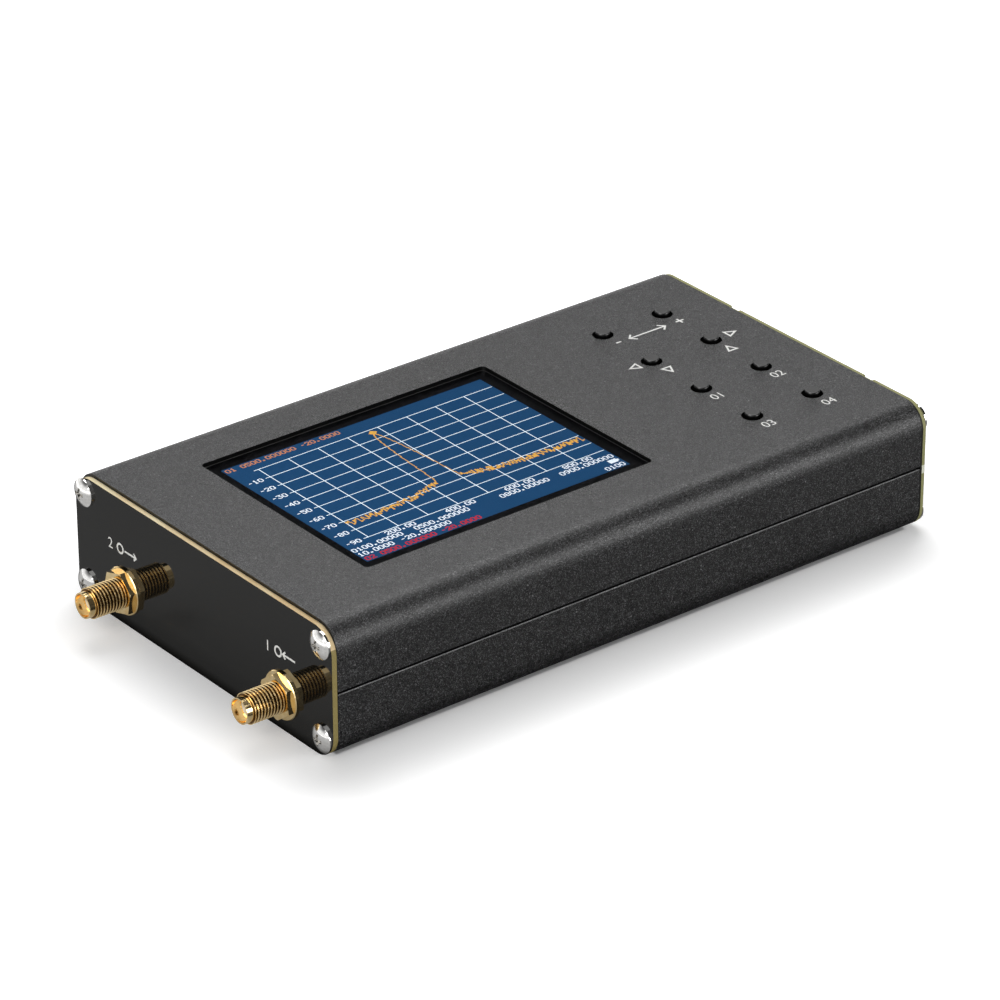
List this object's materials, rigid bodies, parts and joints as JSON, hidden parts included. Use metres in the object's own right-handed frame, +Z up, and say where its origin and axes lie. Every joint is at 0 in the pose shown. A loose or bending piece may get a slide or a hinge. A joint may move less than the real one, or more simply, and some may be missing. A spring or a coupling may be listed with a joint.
{
  "type": "handheld spectrum analyzer",
  "caption": "Flat grey metal instrument case with a lit graph display, round press keys, and threaded gold aerial sockets on one end panel.",
  "frame": {"origin": "middle of the case's flat bottom face", "axes": "+X along the case from the aerial sockets to the power end, +Y across the face towards its top edge, +Z up out of the display"},
  "size_m": [0.1548, 0.081, 0.028],
  "materials": {
    "case_grey": "fine bead-blasted, dark grey anodised",
    "panel_black": "glossy black solder mask with a bare tan edge",
    "screw_nickel": "bright nickel plate",
    "key_black": "moulded, satin",
    "slider_black": "moulded, ribbed",
    "gasket_black": "closed-cell foam",
    "window_glass": "clear and glossy",
    "display_blue": "lit liquid crystal picture",
    "backlight_white": "diffuse white",
    "tray_steel": "pressed sheet",
    "dome_steel": "spring sheet",
    "ribbon_amber": "amber film over copper",
    "board_green": "green solder mask",
    "chip_black": "moulded",
    "can_steel": "drawn can",
    "contact_gold": "gold flash",
    "battery_foil": "laminate pouch",
    "pad_white": "foam",
    "plug_white": "moulded nylon",
    "lead_red": "silicone sleeve",
    "lead_black": "silicone sleeve",
    "jack_gold": "gold plated, bright",
    "insulator_white": "fluoropolymer",
    "usb_nickel": "nickel plate",
    "light_red": "tinted epoxy lens"
  },
  "bodies": {
    "case": {"lower_shell": "case_grey", "upper_shell": "case_grey", "left_panel": "panel_black", "right_panel": "panel_black", "left_panel_screws": "screw_nickel", "right_panel_screws": "screw_nickel", "window_gasket": "gasket_black", "display_tape": "gasket_black", "cover_glass": "window_glass", "display_cell": "display_blue", "display_backlight": "backlight_white", "display_tray": "tray_steel", "shield_frame": "tray_steel", "shield_lid": "tray_steel", "switch_covers": "tray_steel", "power_switch_case": "tray_steel", "switch_domes": "dome_steel", "display_ribbon": "ribbon_amber", "front_board": "board_green", "main_board": "board_green", "switch_housings": "chip_black", "rf_chips": "chip_black", "processor_chip": "chip_black", "charger_chip": "chip_black", "charger_coil": "chip_black", "ribbon_socket": "chip_black", "link_socket": "chip_black", "link_header": "chip_black", "usb_tongue": "chip_black", "reference_oscillator": "can_steel", "link_pins": "contact_gold", "battery_cell": "battery_foil", "battery_pad": "pad_white", "battery_socket": "plug_white", "battery_plug": "plug_white", "battery_lead_red": "lead_red", "battery_lead_black": "lead_black", "output_jack_body": "jack_gold", "output_jack_contact": "jack_gold", "output_jack_washer": "jack_gold", "output_jack_nut": "jack_gold", "input_jack_body": "jack_gold", "input_jack_contact": "jack_gold", "input_jack_washer": "jack_gold", "input_jack_nut": "jack_gold", "output_jack_insulator": "insulator_white", "input_jack_insulator": "insulator_white", "usb_shell": "usb_nickel", "charge_light": "light_red"},
    "key_1": {"key_1": "key_black"},
    "key_2": {"key_2": "key_black"},
    "key_3": {"key_3": "key_black"},
    "key_4": {"key_4": "key_black"},
    "key_5": {"key_5": "key_black"},
    "key_6": {"key_6": "key_black"},
    "key_7": {"key_7": "key_black"},
    "key_8": {"key_8": "key_black"},
    "power_slider": {"power_slider": "slider_black"}
  },
  "joints": [
    {"name": "key_1_press", "type": "slide", "parent": "case", "child": "key_1", "axis": [0, 0, -1], "range_m": [0, 0.0003], "stiffness_N_per_m": 3000, "springref_m": -0.0002},
    {"name": "key_2_press", "type": "slide", "parent": "case", "child": "key_2", "axis": [0, 0, -1], "range_m": [0, 0.0003], "stiffness_N_per_m": 3000, "springref_m": -0.0002},
    {"name": "key_3_press", "type": "slide", "parent": "case", "child": "key_3", "axis": [0, 0, -1], "range_m": [0, 0.0003], "stiffness_N_per_m": 3000, "springref_m": -0.0002},
    {"name": "key_4_press", "type": "slide", "parent": "case", "child": "key_4", "axis": [0, 0, -1], "range_m": [0, 0.0003], "stiffness_N_per_m": 3000, "springref_m": -0.0002},
    {"name": "key_5_press", "type": "slide", "parent": "case", "child": "key_5", "axis": [0, 0, -1], "range_m": [0, 0.0003], "stiffness_N_per_m": 3000, "springref_m": -0.0002},
    {"name": "key_6_press", "type": "slide", "parent": "case", "child": "key_6", "axis": [0, 0, -1], "range_m": [0, 0.0003], "stiffness_N_per_m": 3000, "springref_m": -0.0002},
    {"name": "key_7_press", "type": "slide", "parent": "case", "child": "key_7", "axis": [0, 0, -1], "range_m": [0, 0.0003], "stiffness_N_per_m": 3000, "springref_m": -0.0002},
    {"name": "key_8_press", "type": "slide", "parent": "case", "child": "key_8", "axis": [0, 0, -1], "range_m": [0, 0.0003], "stiffness_N_per_m": 3000, "springref_m": -0.0002},
    {"name": "power_slide", "type": "slide", "parent": "case", "child": "power_slider", "axis": [0, 1, 0], "range_m": [0, 0.002]}
  ]
}
